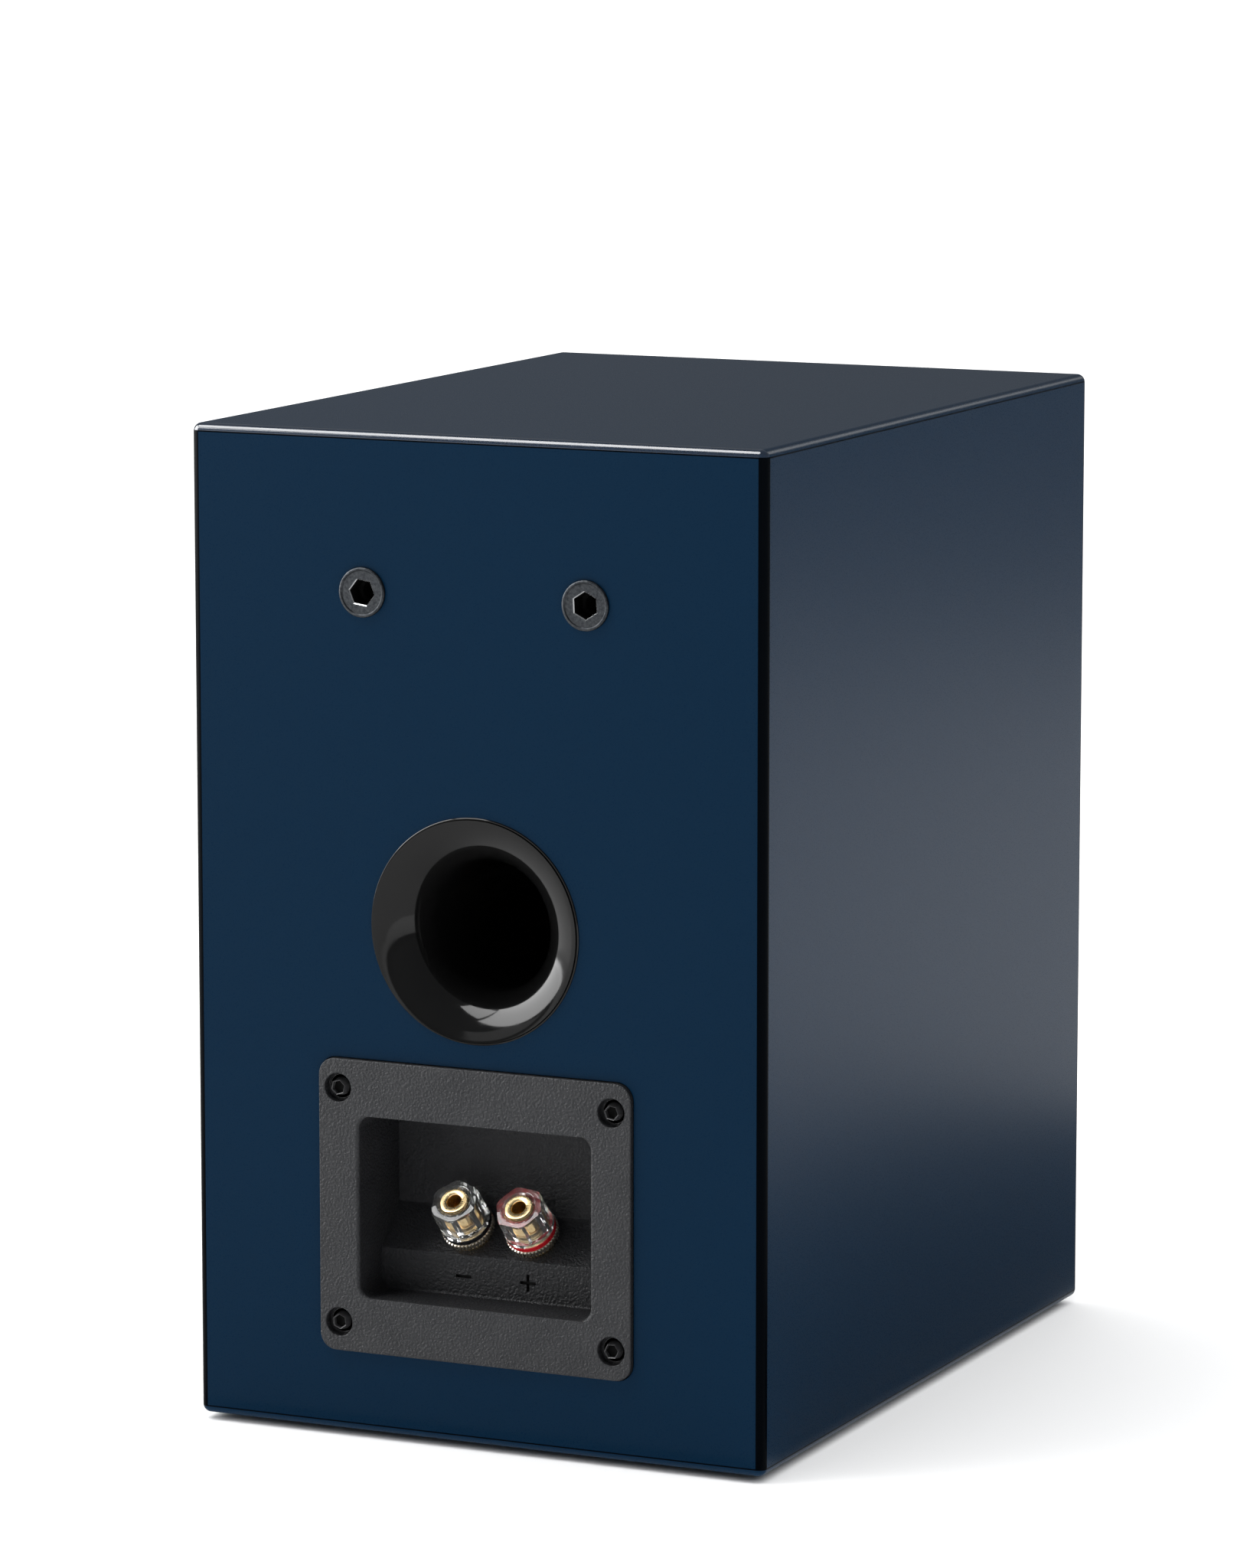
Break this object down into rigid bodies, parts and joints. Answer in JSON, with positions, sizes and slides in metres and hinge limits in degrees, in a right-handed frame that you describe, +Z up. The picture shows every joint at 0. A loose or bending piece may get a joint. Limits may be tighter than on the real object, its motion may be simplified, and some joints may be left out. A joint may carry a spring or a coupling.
{
  "type": "bookshelf speaker",
  "caption": "Rear-ported two-way loudspeaker in a lacquered wooden cabinet, with recessed clear-capped binding posts and threaded wall fixings.",
  "frame": {"origin": "under the middle of the cabinet, on the surface that the rubber feet stand on", "axes": "+Z up; -Y out of the front baffle, where the drivers are; +Y out of the back panel, where the port, terminals and wall fixings are; +X to the right seen from the front"},
  "size_m": [0.18, 0.2496, 0.293],
  "materials": {
    "lacquer": "smooth blue-black lacquer over MDF",
    "mdf": "bare MDF",
    "foam": "felted damping",
    "foam_seal": "closed-cell foam",
    "foot_rubber": "matt rubber",
    "port_plastic": "gloss black",
    "cup_plastic": "fine-grained black",
    "insert_zinc": "black zinc",
    "black_steel": "black oxide",
    "gold_plate": "gold-plated brass",
    "nut_plate": "pale gold plating",
    "ring_black": "black nylon",
    "ring_red": "red nylon",
    "clear_plastic": "clear polycarbonate",
    "tinned": "tinned brass",
    "cast_frame": "black powder coat on cast aluminium",
    "surround_rubber": "butyl rubber",
    "cone_paper": "coated paper pulp",
    "copper": "enamelled copper",
    "spider_cloth": "resin-treated cloth",
    "plated_steel": "zinc plate",
    "ferrite": "sintered ferrite",
    "silk": "coated silk",
    "faceplate_plastic": "satin black",
    "board": "phenolic board",
    "film_cap": "wrapped film",
    "cement": "cast cement",
    "wire_pvc": "PVC insulation"
  },
  "bodies": {
    "cabinet": {"top_panel": "lacquer", "bottom_panel": "lacquer", "left_panel": "lacquer", "right_panel": "lacquer", "front_baffle": "lacquer", "back_panel": "lacquer", "cross_brace": "mdf", "side_damping": "foam", "top_damping": "foam", "rubber_feet": "foot_rubber", "port_tube": "port_plastic", "threaded_inserts": "insert_zinc", "terminal_cup": "cup_plastic", "terminal_gasket": "foam_seal", "terminal_screws": "black_steel", "post_stud_neg": "gold_plate", "post_stud_pos": "gold_plate", "post_washers": "cup_plastic", "post_back_nuts": "gold_plate", "solder_tags": "tinned", "woofer_basket": "cast_frame", "woofer_gasket": "foam_seal", "woofer_screws": "black_steel", "woofer_surround": "surround_rubber", "woofer_spider": "spider_cloth", "woofer_top_plate": "plated_steel", "woofer_magnet": "ferrite", "woofer_yoke": "plated_steel", "woofer_terminals": "tinned", "woofer_leads": "copper", "tweeter_faceplate": "faceplate_plastic", "tweeter_gasket": "foam_seal", "tweeter_screws": "black_steel", "tweeter_surround": "silk", "tweeter_top_plate": "plated_steel", "tweeter_magnet": "ferrite", "tweeter_yoke": "plated_steel", "tweeter_rear_cup": "cup_plastic", "tweeter_terminals": "tinned", "crossover_board": "board", "crossover_coils": "copper", "crossover_capacitors": "film_cap", "crossover_resistors": "cement", "crossover_fixings": "plated_steel", "input_wires": "wire_pvc", "woofer_wires": "wire_pvc", "tweeter_wires": "wire_pvc"},
    "woofer_moving": {"woofer_cone": "cone_paper", "woofer_dust_cap": "surround_rubber", "woofer_voice_coil": "copper"},
    "tweeter_moving": {"tweeter_dome": "silk", "tweeter_voice_coil": "copper"},
    "ring_neg": {"colour_ring_neg": "ring_black"},
    "cap_neg": {"clear_cap_neg": "clear_plastic", "clamp_nut_neg": "nut_plate"},
    "ring_pos": {"colour_ring_pos": "ring_red"},
    "cap_pos": {"clear_cap_pos": "clear_plastic", "clamp_nut_pos": "nut_plate"}
  },
  "joints": [
    {"name": "woofer_stroke", "type": "slide", "parent": "cabinet", "child": "woofer_moving", "axis": [0, -1, 0], "range_m": [-0.005, 0.005], "stiffness_N_per_m": 1200, "deforming": ["woofer_surround", "woofer_spider", "woofer_leads"]},
    {"name": "tweeter_stroke", "type": "slide", "parent": "cabinet", "child": "tweeter_moving", "axis": [0, -1, 0], "range_m": [-0.0003, 0.0003], "stiffness_N_per_m": 1500, "deforming": ["tweeter_surround"]},
    {"name": "neg_cap_lift", "type": "slide", "parent": "cabinet", "child": "ring_neg", "axis": [0, 0.7071, 0.7071], "range_m": [0, 0.004]},
    {"name": "neg_cap_turn", "type": "hinge", "parent": "ring_neg", "child": "cap_neg", "pos_m": [0.0103, 0.10465, 0.05965], "axis": [0, 0.7071, 0.7071], "range_deg": [0, 1440]},
    {"name": "pos_cap_lift", "type": "slide", "parent": "cabinet", "child": "ring_pos", "axis": [0, 0.7071, 0.7071], "range_m": [0, 0.004]},
    {"name": "pos_cap_turn", "type": "hinge", "parent": "ring_pos", "child": "cap_pos", "pos_m": [-0.0103, 0.10465, 0.05965], "axis": [0, 0.7071, 0.7071], "range_deg": [0, 1440]}
  ],
  "couplings": [
    {"joint": "neg_cap_lift", "follows": "neg_cap_turn", "m_per_rad": 0.00015915},
    {"joint": "pos_cap_lift", "follows": "pos_cap_turn", "m_per_rad": 0.00015915}
  ]
}
